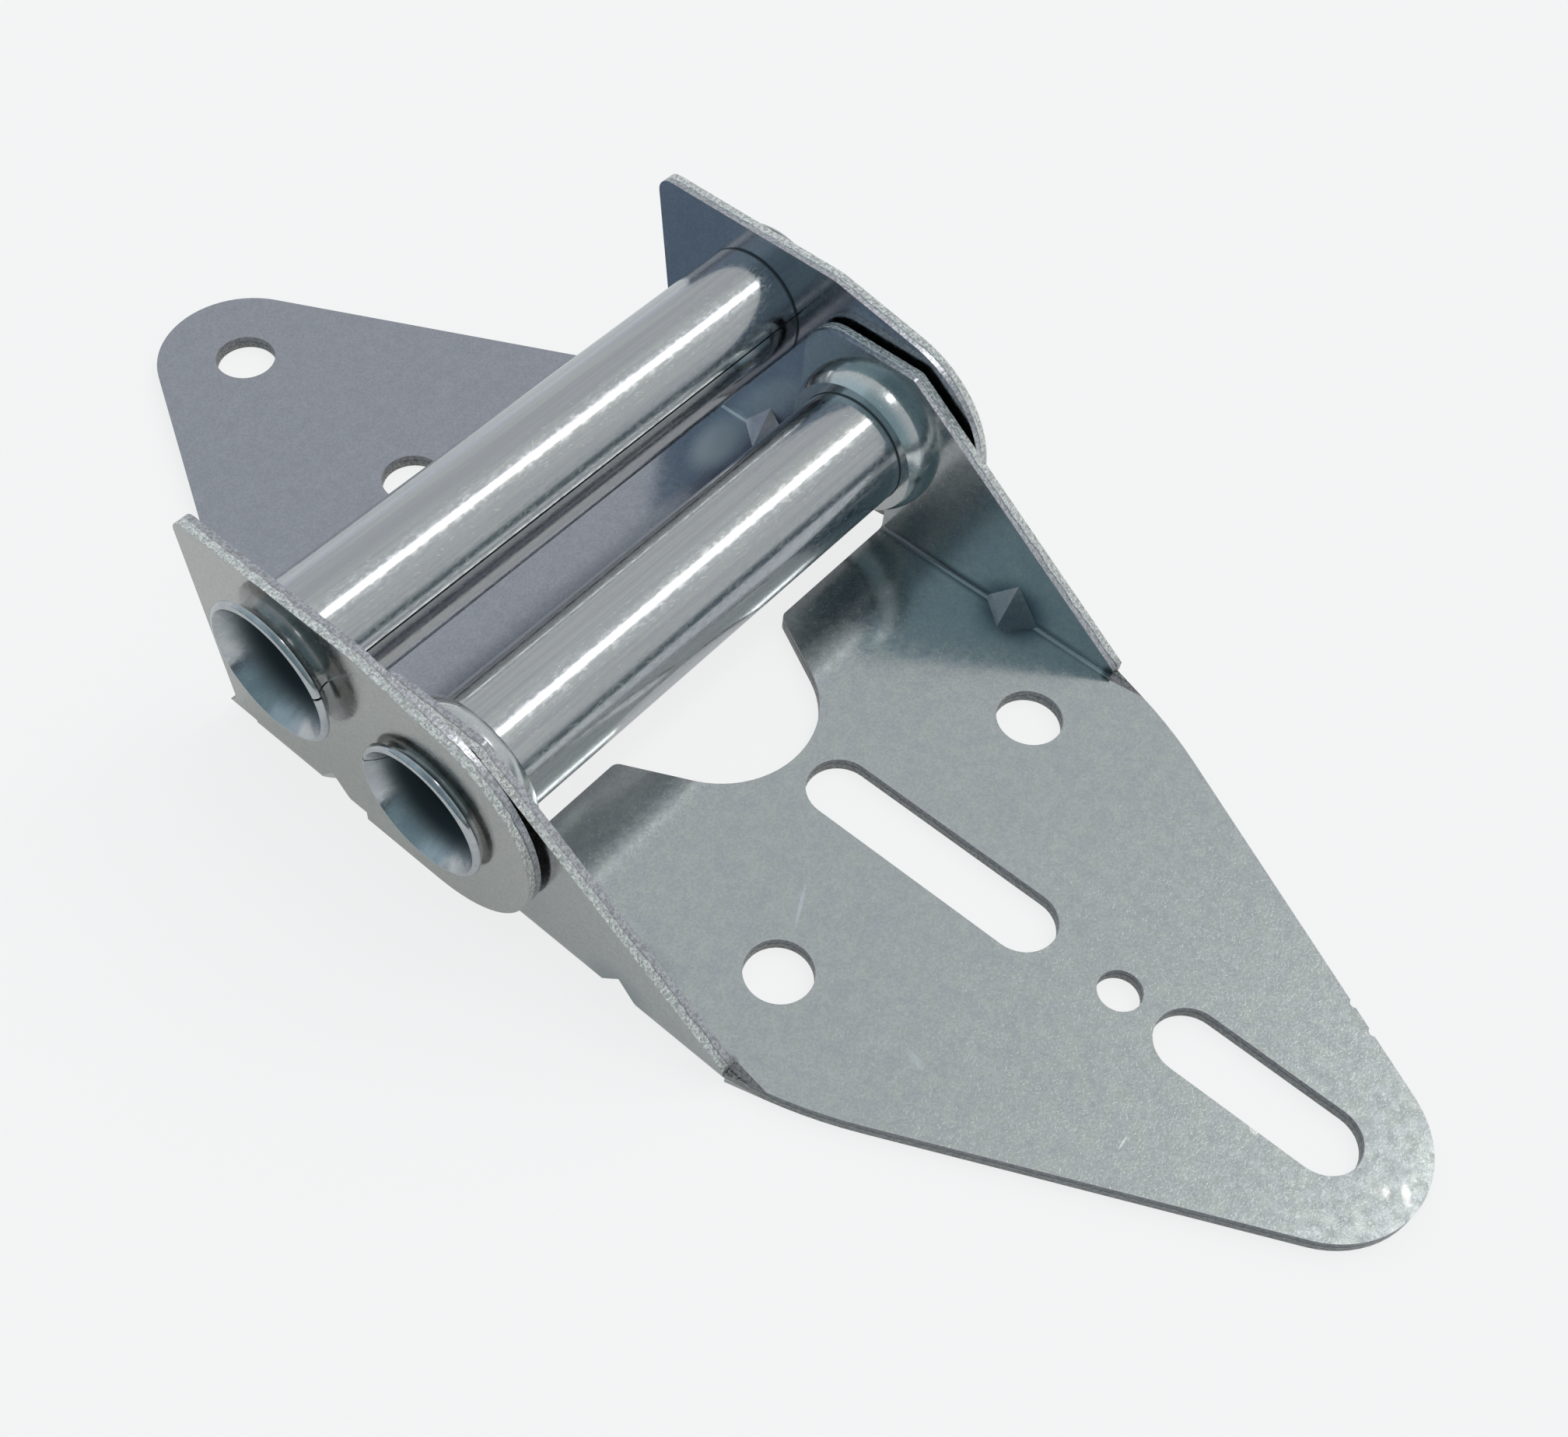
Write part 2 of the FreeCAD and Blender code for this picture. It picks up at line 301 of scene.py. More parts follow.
@dataclass(frozen=True)
class ZincSheet:
    """Zinc plate on rolled sheet: a satin metal, softly mottled, with fine crystals that glint.

    The outside of the folded sheet has its own tint, a painted reflection of the floor that its
    outer faces see, and the leaf's thickness attribute tells it from the inside. Scales are per
    metre and depths in metres. A field that ends in span holds the values of a pattern between
    which the finish changes, and roughness and crystal_shade hold what it changes between.
    """

    name: str
    light: Colour
    dark: Colour
    outside: Colour
    marks: tuple[Mark, ...]
    mottle_scale: float = 420.0
    mottle_span: Span = (0.34, 0.66)
    inside_span: Span = (0.3, 0.7)
    wear_scale: float = 714.0
    wear_span: Span = (0.3, 0.7)
    roughness: Span = (0.13, 0.20)
    crystal_scale: float = 4200.0
    crystal_shade: Span = (0.88, 1.0)
    crystal_depth: float = 0.0026 * MM
    glint_share: float = 0.06
    glint_rough: float = 0.08
    wave_scale: float = 70.0
    wave_depth: float = 0.08 * MM

    def build(self) -> bpy.types.Material:
        """Builds the node material.

        Returns:
            The material.
        """
        material, g = new_material(self.name)
        place = g.place()
        mottle = g.noise(place, self.mottle_scale, detail=6.0, roughness=0.7)
        tint = g.blend(g.ramp(mottle, self.mottle_span), self.dark, self.light)
        inside = g.ramp(g.attribute("across"), self.inside_span)
        # Painted reflection: the outside of the sheet takes its own tint, standing in for the floor that
        # it mirrors.
        tint = g.blend(inside, self.outside, tint)
        crystal = g.crystals(place, self.crystal_scale)
        tint = g.shade(tint, g.ramp(crystal["X"], (0.0, 1.0), self.crystal_shade))
        wear = g.noise(place, self.wear_scale, detail=3.0)
        rough = g.ramp(wear, self.wear_span, self.roughness)
        glint = g.math("GREATER_THAN", crystal["Y"], 1.0 - self.glint_share)
        rough = g.math("ADD", rough, g.math("MULTIPLY", glint, self.glint_rough))
        # The marks lay wear, painted shade, painted highlights and a pool of painted light over the zinc.
        for mark in self.marks:
            mask = mark.mask(g, place)
            tint = g.blend(mask, tint, mark.colour)
            rough = g.math("ADD", rough, g.math("MULTIPLY", mask, mark.scuff))
        wave = g.bump(g.noise(place, self.wave_scale, detail=1.0), self.wave_depth)
        normal = g.bump(crystal["Z"], self.crystal_depth, wave)
        shader = g.add("ShaderNodeBsdfPrincipled", {
            "Base Color": tint, "Metallic": 1.0, "Roughness": rough, "Normal": normal,
        })
        g.add("ShaderNodeOutputMaterial", {"Surface": shader.outputs[0]})
        return material


@dataclass(frozen=True)
class ShearedEdge:
    """Edge of the sheet where it was blanked: torn, glittering metal beside a smooth band.

    The smooth band lies towards the inside of the fold, and the edge is painted darker towards the floor,
    a painted shade.
    A field that ends in span holds the values between which the finish changes, and one that
    ends in shade holds the factors on its colour.
    """

    name: str
    smooth: Colour = (0.60, 0.60, 0.64)
    torn: Colour = (0.92, 0.92, 0.89)
    ragged_scale: float = 500.0
    ragged_reach: float = 0.35
    smooth_span: Span = (0.50, 0.62)
    grain_scale: float = 2400.0
    grain_span: Span = (0.38, 0.60)
    grain_shade: Span = (0.64, 1.05)
    grain_depth: float = 0.36 * MM
    grain_height: float = 1.15
    low_span: Span = (-13.8 * MM, -11.8 * MM)
    low_shade: Span = (0.42, 1.0)
    torn_rough: float = 0.15
    smooth_rougher: float = 0.08

    def build(self) -> bpy.types.Material:
        """Builds the node material, whose bands follow the leaf's own thickness attribute.

        Returns:
            The material.
        """
        material, g = new_material(self.name)
        place = g.place()
        ragged = g.math("SUBTRACT", g.noise(place, self.ragged_scale, detail=3.0), 0.5)
        ragged = g.math("MULTIPLY", ragged, self.ragged_reach)
        band = g.ramp(g.math("ADD", g.attribute("across"), ragged), self.smooth_span)
        grain = g.noise(place, self.grain_scale, detail=3.0, roughness=0.75)
        colour = g.blend(band, self.torn, self.smooth)
        colour = g.shade(colour, g.ramp(grain, self.grain_span, self.grain_shade))
        # Painted shade: the edge is painted darker towards the floor.
        colour = g.shade(colour, g.ramp(g.parts(place)["Z"], self.low_span, self.low_shade))
        rough = g.math("ADD", g.math("MULTIPLY", band, self.smooth_rougher), self.torn_rough)
        relief = g.math("MULTIPLY", grain, g.math("SUBTRACT", self.grain_height, band))
        shader = g.add("ShaderNodeBsdfPrincipled", {
            "Base Color": colour, "Metallic": 1.0, "Roughness": rough,
            "Normal": g.bump(relief, self.grain_depth),
        })
        g.add("ShaderNodeOutputMaterial", {"Surface": shader.outputs[0]})
        return material


@dataclass(frozen=True)
class ZincTube:
    """Zinc plate on rolled tube: bright, with streaks drawn along the tube and small specks.

    Deep in the bore the tube is painted near black and not metallic, a painted shade, and a thin
    dark line runs round the tube at seat, where it enters the ear or the collar, partly grime in
    that join and partly painted shade. A field that ends in along is the scale on X that draws a
    pattern out along the tube, and bore_span and bore_start are depths in the bore, from 0 at
    its lip to 1 where its even width begins.
    """

    name: str
    seat: float
    seat_width: float = 0.35 * MM
    light: Colour = (0.58, 0.59, 0.59)
    dark: Colour = (0.50, 0.51, 0.54)
    # Painted shade: the near-black colour deep in the bore.
    bore: Colour = (0.09, 0.10, 0.105)
    bore_span: Span = (0.08, 0.60)
    bore_start: float = 0.01
    bore_shine: float = 0.05
    bore_rougher: float = 0.3
    streak_scale: float = 900.0
    streak_along: float = 0.02
    streak_span: Span = (0.35, 0.65)
    streak_depth: float = 0.006 * MM
    speck_scale: float = 3000.0
    speck_along: float = 0.5
    speck_span: Span = (0.4, 1.0)
    speck_depth: float = 0.008 * MM
    roughness: Span = (0.13, 0.24)

    def build(self) -> bpy.types.Material:
        """Builds the node material.

        Returns:
            The material.
        """
        material, g = new_material(self.name)
        place = g.place()
        streak = g.noise(g.drawn(place, self.streak_along), self.streak_scale, detail=3.0, roughness=0.6)
        speck = g.crystals(g.drawn(place, self.speck_along), self.speck_scale)
        inside = g.attribute("inside")
        deep = g.ramp(inside, self.bore_span)
        from_seat = g.math("SUBTRACT", g.math("ABSOLUTE", g.parts(place)["X"]), self.seat)
        # Partly grime and partly painted shade: a thin dark line where the tube meets the ear or the
        # collar.
        line = g.ramp(g.math("ABSOLUTE", from_seat), (self.seat_width, 0.0))
        outside = g.math("SUBTRACT", 1.0, g.math("GREATER_THAN", inside, self.bore_start))
        # Painted shade deep in the bore, and at the seat the dark line of grime and painted shade.
        painted_shade_and_grime = g.math("MAXIMUM", deep, g.math("MULTIPLY", line, outside))
        colour = g.blend(g.ramp(streak, self.streak_span), self.dark, self.light)
        colour = g.blend(painted_shade_and_grime, colour, self.bore)
        rough = g.ramp(speck["X"], self.speck_span, self.roughness)
        rough = g.math("ADD", rough, g.math("MULTIPLY", deep, self.bore_rougher))
        normal = g.bump(streak, self.streak_depth)
        normal = g.bump(speck["Y"], self.speck_depth, normal)
        shader = g.add("ShaderNodeBsdfPrincipled", {
            "Base Color": colour, "Metallic": g.math("SUBTRACT", 1.0, painted_shade_and_grime), "Roughness": rough,
            "Normal": normal, "Specular IOR Level": self.bore_shine,
        })
        g.add("ShaderNodeOutputMaterial", {"Surface": shader.outputs[0]})
        return material


def carrier_zinc() -> ZincSheet:
    """Finish of the carrier leaf: faintly blue, with one pool of painted light, scuffed rougher, beside
    the right ear.

    Returns:
        The finish.
    """
    # Painted light: a pale pool of light painted on the plate beside the right ear, which the mark also
    # makes rougher.
    painted_light_patch = Mark((33.5, 21.5, -14.1), (8.0, 4.2, 2.0), 12.0, (0.88, 0.92, 0.93), scuff=0.34)
    return ZincSheet(
        name="carrier_zinc_face",
        light=(0.46, 0.475, 0.53),
        dark=(0.43, 0.445, 0.50),
        # Painted reflection: the outside's tint stands in for the floor seen in the outer faces.
        outside=(0.53, 0.52, 0.49),
        marks=(painted_light_patch,),
    )


def flange_zinc() -> ZincSheet:
    """Finish of the flange leaf: the wear that the photograph shows, and painted shade and highlights.

    Returns:
        The finish.
    """
    bare = (0.92, 0.92, 0.90)
    worn_tip = Mark((0.3, -103.7, -14.1), (1.8, 0.7, 1.0), 35.0, bare)
    worn_spot = Mark((-0.9, -101.9, -14.1), (1.0, 0.5, 1.0), 20.0, (0.90, 0.90, 0.88), 0.8)
    nub = Mark((-4.3, -87.7, -14.1), (0.9, 0.6, 1.0), 60.0, bare)
    scratch = Mark((-15.2, -78.1, -14.1), (1.2, 0.16, 1.0), 6.0, bare)
    faint_line = Mark((-15.9, -33.9, -14.1), (4.0, 0.35, 1.0), 28.0, (0.76, 0.82, 0.90), 0.55)
    smudge = Mark((-22.4, -55.6, -14.1), (2.0, 0.7, 1.0), 75.0, (0.70, 0.77, 0.82), 0.4)
    # Painted shade: the dark reflections of the dart facets are painted on the plate round each dart.
    right_dart_painted_shade = Mark((36.4, -26.0, -14.1), (6.6, 6.6, 6.6), 0.0, (0.20, 0.25, 0.28), 0.85)
    left_dart_painted_shade = Mark((-36.4, -26.0, -14.1), (6.6, 6.6, 6.6), 0.0, (0.20, 0.25, 0.28), 0.5)
    # Painted shade: a dark line painted along the inside of the right fold.
    right_crease_painted_shade = Mark((36.3, -22.0, -14.0), (1.3, 26.0, 1.3), 0.0, (0.24, 0.28, 0.30), 0.8)
    # Painted highlight: the collars are painted paler, standing in for their bright reflections.
    collar = Mark((34.0, 0.0, 0.0), (2.6, 15.0, 15.0), 0.0, (0.86, 0.86, 0.85))
    # Painted shade: a near-black spot painted in the small relief where each fold ends.
    toe_painted_shade = Mark((36.4, -40.9, -13.6), (1.3, 1.2, 1.4), 0.0, (0.08, 0.09, 0.10), 0.85)
    return ZincSheet(
        name="flange_zinc_face",
        light=(0.60, 0.635, 0.62),
        dark=(0.555, 0.58, 0.605),
        # Painted reflection: the outside's tint stands in for the floor seen in the outer faces.
        outside=(0.52, 0.52, 0.50),
        marks=(
            worn_tip, worn_spot, nub, scratch, faint_line, smudge,
            right_dart_painted_shade, left_dart_painted_shade, right_crease_painted_shade, *collar.both_sides(), *toe_painted_shade.both_sides(),
        ),
    )


@dataclass
class PressedLeaf:
    """One leaf: the solid's own surface, merged, with softened edges and its cut edges told apart.

    A triangle that crosses more than cut_step of the sheet's thickness is on a cut edge.
    """

    node: str
    body: Body
    slot: str
    half_width: float
    face_finish: ZincSheet
    edge_finish: ShearedEdge
    sheet: float = SHEET
    bend_outside: float = 2.5 * MM
    underside: float = -16.0 * MM
    weld: float = 0.0001 * MM
    cut_step: float = 0.5
    flat_angle: float = math.radians(0.6)
    edge_round: float = 0.2 * MM
    edge_segments: int = 2

    def merged(self, source: bpy.types.Mesh) -> tuple[Array, Array]:
        """Joins the loose triangles of a solid into one surface.

        Corners that fall in one cell of a grid of the weld size become one vertex.

        Args:
            source: the solid's mesh, which stays as it is.

        Returns:
            Vertices (n, 3) and triangles (m, 3).
        """
        places = np.empty(len(source.vertices) * 3)
        source.vertices.foreach_get("co", places)
        corners = np.empty(len(source.loops), dtype=np.int64)
        source.loops.foreach_get("vertex_index", corners)
        places = places.reshape(-1, 3)
        keys = np.round(places / self.weld).astype(np.int64)
        first, where = np.unique(keys, axis=0, return_index=True, return_inverse=True)[1:]
        triangles = where.reshape(-1)[corners].reshape(-1, 3)
        proper = (triangles[:, 0] != triangles[:, 1]) & (triangles[:, 1] != triangles[:, 2])
        proper &= triangles[:, 0] != triangles[:, 2]
        return places[first], triangles[proper]

    def across(self, places: Array) -> Array:
        """How far through the sheet each place is: 0 on the outside, 1 on the inside.

        The outside of the bend is a circle about a line, and the distance from that line, or
        from the flat beside it, is taken from the circle's radius and divided by the sheet.

        Args:
            places: vertices (n, 3).

        Returns:
            One number for each vertex.
        """
        beside = np.maximum(np.abs(places[:, 0]) - (self.half_width - self.bend_outside), 0.0)
        below = np.maximum(self.bend_outside - (places[:, 2] - self.underside), 0.0)
        return np.clip((self.bend_outside - np.hypot(beside, below)) / self.sheet, 0.0, 1.0)

    def sheet_mesh(self, source: bpy.types.Mesh) -> bpy.types.Mesh:
        """Makes the leaf's mesh, with the edge finish on the triangles that cross the sheet.

        Args:
            source: the solid's mesh.

        Returns:
            The new mesh, with its thickness attribute.
        """
        places, triangles = self.merged(source)
        through = self.across(places)
        cut = np.ptp(through[triangles], axis=1) > self.cut_step
        mesh = bpy.data.meshes.new(self.node + "_sheet")
        mesh.from_pydata(places.tolist(), [], triangles.tolist())
        attribute = mesh.attributes.new("across", "FLOAT", "POINT")
        attribute.data.foreach_set("value", through)
        mesh.materials.append(self.face_finish.build())
        mesh.materials.append(self.edge_finish.build())
        mesh.polygons.foreach_set("material_index", cut.astype(np.int32))
        mesh.polygons.foreach_set("use_smooth", np.ones(len(triangles), dtype=bool))
        mesh.update()
        return mesh

    def soften(self, piece: bpy.types.Object) -> None:
        """Joins the flats' triangles and rounds the edges, both by modifiers.

        Args:
            piece: the leaf.
        """
        flat = piece.modifiers.new("flats", "DECIMATE")
        flat.decimate_type = "DISSOLVE"
        flat.angle_limit = self.flat_angle
        flat.delimit = {"MATERIAL"}
        soft = piece.modifiers.new("edges", "BEVEL")
        soft.width = self.edge_round
        soft.segments = self.edge_segments
        soft.limit_method = "ANGLE"
        soft.angle_limit = SHARP_ANGLE
        soft.harden_normals = True
        soft.use_clamp_overlap = True

    def build(self, solid: bpy.types.Object) -> bpy.types.Object:
        """Builds the leaf in place of its solid.

        Args:
            solid: the CAD node.

        Returns:
            The finished piece.
        """
        piece = placed(self.node + "_sheet", self.sheet_mesh(solid.data))
        self.soften(piece)
        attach(piece, self.body.value)
        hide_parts(self.node)
        LOG.info("%s: %d triangles before its edges are rounded", piece.name, len(piece.data.polygons))
        return piece


@dataclass
class RolledTube:
    """A tube rolled from sheet, with a butt seam and both ends flared over the ears.

    Its axis runs along X through centre, which holds Y and Z. The seam lies seam_angle degrees
    from +Y towards +Z. The bore starts to widen at entry inside the ear's outer face, and the
    rim stands flare_reach outside it.
    """

    node: str
    slot: str
    centre: tuple[float, float]
    seam_angle: float
    flare_reach: float
    rim_radius: float
    finish: ZincTube
    half_span: float = CARRIER_HALF
    radius: float = 7.9 * MM
    wall: float = 1.8 * MM
    lip: float = 0.7 * MM
    entry: float = 5.0 * MM
    seam_width: float = 0.25 * MM
    turns: int = 220
    steps: int = 14

    @staticmethod
    def swing(x0: float, r0: float, x1: float, r1: float, steps: int) -> Array:
        """Arc that leaves (x0, r0) along the axis and swings out to (x1, r1).

        The arc's radius is the squared chord over twice the rise, and equal turns give its
        points.

        Args:
            x0: start along the axis.
            r0: start distance from the axis.
            x1: end along the axis.
            r1: end distance from the axis.
            steps: number of points.

        Returns:
            Points (steps, 2).
        """
        dx, dr = x1 - x0, r1 - r0
        bend = (dx * dx + dr * dr) / (2 * dr)
        turn = np.linspace(0.0, 2 * math.atan2(dr, abs(dx)), steps)
        x = x0 + math.copysign(1.0, dx) * bend * np.sin(turn)
        return np.stack([x, r0 + bend * (1 - np.cos(turn))], axis=1)

    def profile(self) -> tuple[Array, Array]:
        """Closed outline of the wall, as pairs of axis place and radius.

        It runs from the right ear's outer face out to the rim on a swing, round the lip on a
        quarter circle and into the bore on a second swing. The left end is its mirror image,
        in the opposite order, and the outside of the tube closes the outline.

        Returns:
            Points (n, 2), and for each how deep inside the bore it lies, from 0 to 1.
        """
        end = self.half_span + self.flare_reach
        bore = self.radius - self.wall
        lip_x = end - self.lip
        lip_r = self.rim_radius - self.lip
        out = self.swing(self.half_span, self.radius, lip_x, self.rim_radius, self.steps)
        quarter = np.linspace(math.pi / 2, 0.0, self.steps // 2)[1:-1]
        lip = np.stack([lip_x + self.lip * np.cos(quarter), lip_r + self.lip * np.sin(quarter)], axis=1)
        mouth = self.swing(self.half_span - self.entry, bore, end, lip_r, self.steps)[::-1]
        right = np.concatenate([out, lip, mouth])
        left = right[::-1] * np.array([-1.0, 1.0])
        depth = np.concatenate([np.zeros(len(out) + len(lip)), np.linspace(0.0, 1.0, self.steps)])
        return np.concatenate([right, left]), np.concatenate([depth, depth[::-1]])

    def rolled(self, profile: Array) -> tuple[Array, list[list[int]]]:
        """Carries the profile round the axis from one side of the seam to the other.

        A point at (x, r) of the profile goes to (x, r cos t, r sin t) about the tube's own
        axis, with t from the seam's one side to its other. Both cut faces are closed.

        Args:
            profile: points (n, 2).

        Returns:
            Vertices (turns * n, 3), and faces.
        """
        half_seam = self.seam_width / self.radius / 2
        start = math.radians(self.seam_angle) + half_seam
        turn = np.linspace(start, start + 2 * math.pi - 2 * half_seam, self.turns)
        count = len(profile)
        x = np.broadcast_to(profile[:, 0], (self.turns, count))
        y = self.centre[0] + np.cos(turn)[:, None] * profile[:, 1]
        z = self.centre[1] + np.sin(turn)[:, None] * profile[:, 1]
        i, j = np.meshgrid(np.arange(self.turns - 1), np.arange(count), indexing="ij")
        k = (j + 1) % count
        quads = np.stack([i * count + j, i * count + k, (i + 1) * count + k, (i + 1) * count + j], axis=2)
        faces = quads.reshape(-1, 4).tolist()
        faces.append(list(range(count))[::-1])
        faces.append(list(range((self.turns - 1) * count, self.turns * count)))
        return np.stack([x, y, z], axis=2).reshape(-1, 3), faces

    def build(self) -> bpy.types.Object:
        """Builds the tube in place of its solid.

        Returns:
            The finished piece.
        """
        profile, depth = self.profile()
        places, faces = self.rolled(profile)
        mesh = bpy.data.meshes.new(self.node + "_rolled")
        mesh.from_pydata(places.tolist(), [], faces)
        mesh.polygons.foreach_set("use_smooth", np.ones(len(faces), dtype=bool))
        mesh.set_sharp_from_angle(angle=SHARP_ANGLE)
        attribute = mesh.attributes.new("inside", "FLOAT", "POINT")
        attribute.data.foreach_set("value", np.tile(depth, self.turns))
        mesh.materials.append(self.finish.build())
        mesh.update()
        piece = placed(self.node + "_rolled", mesh)
        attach(piece, Body.CARRIER.value)
        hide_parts(self.node)
        LOG.info("%s: %d faces", piece.name, len(faces))
        return piece


@dataclass(frozen=True)
class PhotoCamera:
    """The camera that took the photograph, as solved from the hinge's own lines.

    Its angles are in degrees, its target, distance, lens and sensor in millimetres, its shift
    in widths of the frame and its clip in metres.
    """

    azimuth: float = -50.247
    elevation: float = 55.776
    roll: float = 2.540
    target: Point = (-12.539, -10.699, -16.0)
    distance: float = 228.06
    lens: float = 43.132
    sensor: float = 36.0
    shift: tuple[float, float] = (0.07287, 0.04189)
    clip: Span = (0.01, 50.0)

    def axes(self) -> tuple[Array, Array, Array]:
        """Right, up and back of the camera.

        Back comes from the two view angles, right is level before the roll, and the
        roll turns right and up about back.

        Returns:
            Three unit vectors.
        """
        a, e, r = (math.radians(v) for v in (self.azimuth, self.elevation, self.roll))
        back = np.array([math.sin(a) * math.cos(e), -math.cos(a) * math.cos(e), math.sin(e)])
        level = np.array([math.cos(a), math.sin(a), 0.0])
        above = np.cross(back, level)
        right = level * math.cos(r) + above * math.sin(r)
        up = above * math.cos(r) - level * math.sin(r)
        return right, up, back

    def build(self) -> bpy.types.Object:
        """Makes the camera and puts it to use.

        Returns:
            The camera object.
        """
        right, up, back = self.axes()
        data = bpy.data.cameras.new("photo_camera")
        data.sensor_width = self.sensor
        data.lens = self.lens
        data.shift_x, data.shift_y = self.shift
        data.clip_start, data.clip_end = self.clip
        camera = placed("photo_camera", data)
        camera.matrix_world = facing(right, up, back, (np.array(self.target) + back * self.distance) * MM)
        bpy.context.scene.camera = camera
        return camera


@dataclass(frozen=True)
class Floor:
    """Plain pale floor that runs out of sight on every side and is clear from below."""

    height: float = -16.03 * MM
    reach: float = 3.0
    white: Colour = (0.9, 0.9, 0.9)
    glow: float = 0.80
    mirrored_glow: float = 0.35

    def finish(self) -> bpy.types.Material:
        """Builds the node material: a matt white that partly glows where it is seen.

        Returns:
            The material.
        """
        material, g = new_material("floor_white")
        matt = g.add("ShaderNodeBsdfDiffuse", {"Color": (*self.white, 1.0)})
        glow = g.add("ShaderNodeEmission", {"Color": (1.0, 1.0, 1.0, 1.0), "Strength": 1.0})
        share = g.seen(self.glow, self.mirrored_glow)
        above = g.add("ShaderNodeMixShader", {0: share, 1: matt.outputs[0], 2: glow.outputs[0]})
        below = g.add("ShaderNodeNewGeometry").outputs["Backfacing"]
        clear = g.add("ShaderNodeBsdfTransparent")
        both = g.add("ShaderNodeMixShader", {0: below, 1: above.outputs[0], 2: clear.outputs[0]})
        g.add("ShaderNodeOutputMaterial", {"Surface": both.outputs[0]})
        return material

    def build(self) -> bpy.types.Object:
        """Makes the floor, which shows white where no shadow falls.

        Returns:
            The floor object.
        """
        r = self.reach
        corners = [(-r, -r, self.height), (r, -r, self.height), (r, r, self.height), (-r, r, self.height)]
        mesh = bpy.data.meshes.new("floor")
        mesh.from_pydata(corners, [], [(0, 1, 2, 3)])
        mesh.materials.append(self.finish())
        floor = placed("floor", mesh)
        return floor


@dataclass(frozen=True)
class Studio:
    """Soft light from all round, and one long soft box overhead.

    The dome is pale towards +X and a deep blue towards -X, which clears towards +Y. It has a
    glow round the soft box, a pale far horizon and a dark strip low down in front and on the
    left. Each span holds the two values of a direction's X, Y or Z between which a tone
    comes in.
    """

    pale: Colour = (0.56, 0.59, 0.60)
    pale_x: Span = (-0.50, 0.42)
    blue: Colour = (0.13, 0.23, 0.27)
    window: Colour = (0.32, 0.46, 0.53)
    window_y: Span = (0.12, 0.40)
    glow: Colour = (0.66, 0.70, 0.68)
    glow_cosine: Span = (0.90, 1.0)
    horizon: Colour = (0.73, 0.78, 0.83)
    horizon_y: Span = (0.1, 0.8)
    horizon_z: Span = (0.42, 0.02)
    strip: Colour = (0.03, 0.07, 0.09)
    strip_x: Span = (-0.3, -0.7)
    strip_y: Span = (-0.2, -0.7)
    strip_z: Span = (0.26, 0.12)
    backdrop: Colour = (0.94, 0.94, 0.94)
    mirrored_backdrop: float = 0.08
    box_way: Point = (0.47, -0.207, 0.858)
    box_size: tuple[float, float] = (6.4, 0.94)
    box_distance: float = 6.0
    box_glow: float = 3.6

    def dome(self) -> bpy.types.World:
        """Makes the world light from soft spans of direction.

        Returns:
            The world.
        """
        world = bpy.data.worlds.new("studio")
        world.use_nodes = True
        g = Graph(world.node_tree)
        way = g.add("ShaderNodeTexCoord").outputs["Generated"]
        x, y, z = g.parts(way)
        left = g.blend(g.ramp(y, self.window_y), self.blue, self.window)
        sky = g.blend(g.ramp(x, self.pale_x), left, self.pale)
        cosine = g.add("ShaderNodeVectorMath", {0: way, 1: self.box_way}, operation="DOT_PRODUCT")
        sky = g.blend(g.ramp(cosine.outputs["Value"], self.glow_cosine), sky, self.glow)
        far = g.math("MULTIPLY", g.ramp(z, self.horizon_z), g.ramp(y, self.horizon_y))
        sky = g.blend(far, sky, self.horizon)
        near = g.math("MAXIMUM", g.ramp(y, self.strip_y), g.ramp(x, self.strip_x))
        low = g.math("MULTIPLY", g.ramp(z, self.strip_z), near)
        sky = g.blend(low, sky, self.strip)
        sky = g.blend(g.seen(1.0, self.mirrored_backdrop), sky, self.backdrop)
        light = g.add("ShaderNodeBackground", {"Color": sky, "Strength": 1.0})
        g.add("ShaderNodeOutputWorld", {"Surface": light.outputs[0]})
        return world

    def soft_box(self) -> bpy.types.Object:
        """Makes the long soft box, which shines from box_way.

        A lamp of radiance L and area A needs a power of pi times L times A.

        Returns:
            The lamp object.
        """
        back = np.array(self.box_way) / np.linalg.norm(self.box_way)
        across = np.cross([1.0, 0.0, 0.0], back)
        across /= np.linalg.norm(across)
        along = np.cross(across, back)
        data = bpy.data.lights.new("soft_box", "AREA")
        data.shape = "RECTANGLE"
        data.size, data.size_y = self.box_size
        data.energy = math.pi * self.box_glow * self.box_size[0] * self.box_size[1]
        lamp = placed("soft_box", data)
        lamp.matrix_world = facing(along, -across, back, back * self.box_distance)
        lamp.visible_camera = False
        return lamp

    def build(self) -> None:
        """Makes the world and the lamp, and puts both to use."""
        bpy.context.scene.world = self.dome()
        self.soft_box()


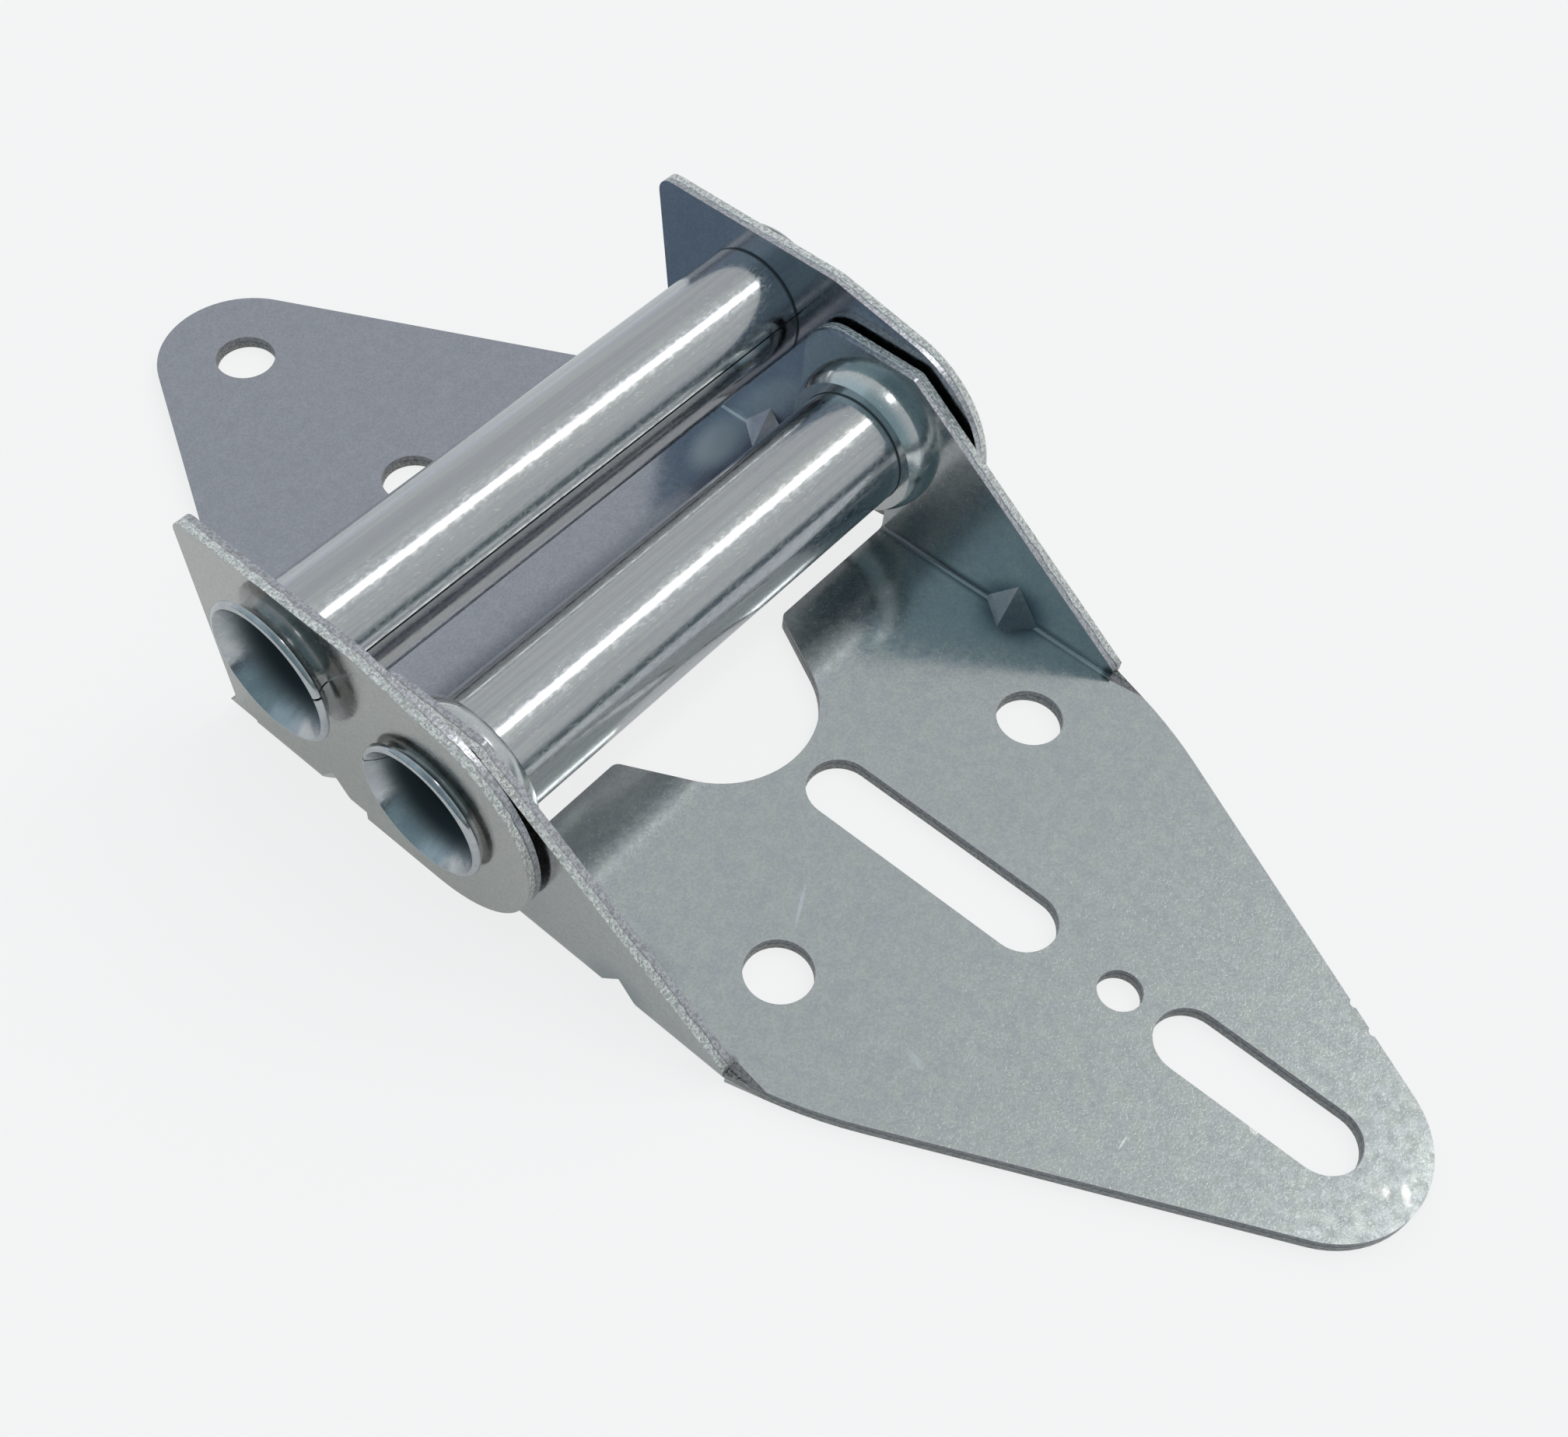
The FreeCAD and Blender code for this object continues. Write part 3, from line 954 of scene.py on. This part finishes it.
@dataclass(frozen=True)
class Hinge:
    """The whole hinge: two pressed leaves, and two rolled tubes with their centres in Y and Z."""

    edge: ShearedEdge = ShearedEdge("sheared_edge")
    roller_centre: tuple[float, float] = (22.2 * MM, 6.2 * MM)
    pivot_centre: tuple[float, float] = (0.0, 0.0)

    def leaves(self) -> tuple[PressedLeaf, PressedLeaf]:
        """Describes both leaves.

        Returns:
            The carrier leaf and the flange leaf.
        """
        carrier = PressedLeaf(
            "carrier_leaf", Body.CARRIER, "carrier_zinc", CARRIER_HALF, carrier_zinc(), self.edge
        )
        flange = PressedLeaf(
            "flange_leaf", Body.FLANGE, "flange_zinc", FLANGE_HALF, flange_zinc(), self.edge
        )
        return carrier, flange

    def tubes(self) -> tuple[RolledTube, RolledTube]:
        """Describes both tubes.

        Returns:
            The roller tube and the pivot tube.
        """
        roller = RolledTube(
            "roller_tube", "roller_tube_zinc", self.roller_centre,
            seam_angle=160.0, flare_reach=2.7 * MM, rim_radius=9.5 * MM,
            finish=ZincTube("roller_tube_bright", seat=39.0 * MM),
        )
        pivot = RolledTube(
            "pivot_tube", "pivot_tube_zinc", self.pivot_centre,
            seam_angle=15.0, flare_reach=1.6 * MM, rim_radius=9.15 * MM,
            finish=ZincTube("pivot_tube_bright", seat=33.1 * MM),
        )
        return roller, pivot

    def build(self, nodes: dict[str, bpy.types.Object]) -> list[bpy.types.Object]:
        """Builds all four pieces.

        Args:
            nodes: the CAD nodes by name.

        Returns:
            The finished pieces.
        """
        leaves = [leaf.build(nodes[leaf.node]) for leaf in self.leaves()]
        tubes = [tube.build() for tube in self.tubes()]
        return leaves + tubes


def main() -> None:
    """Builds the camera, the hinge and the stage in order."""
    logging.basicConfig(level=logging.INFO, format="%(name)s: %(message)s")
    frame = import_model()
    PhotoCamera().build()
    pieces = Hinge().build(frame["nodes"])
    LOG.info("%d pieces stand in for the solids", len(pieces))
    Floor().build()
    Studio().build()
    bpy.context.scene.view_settings.view_transform = "Standard"


if __name__ == "__main__":
    main()
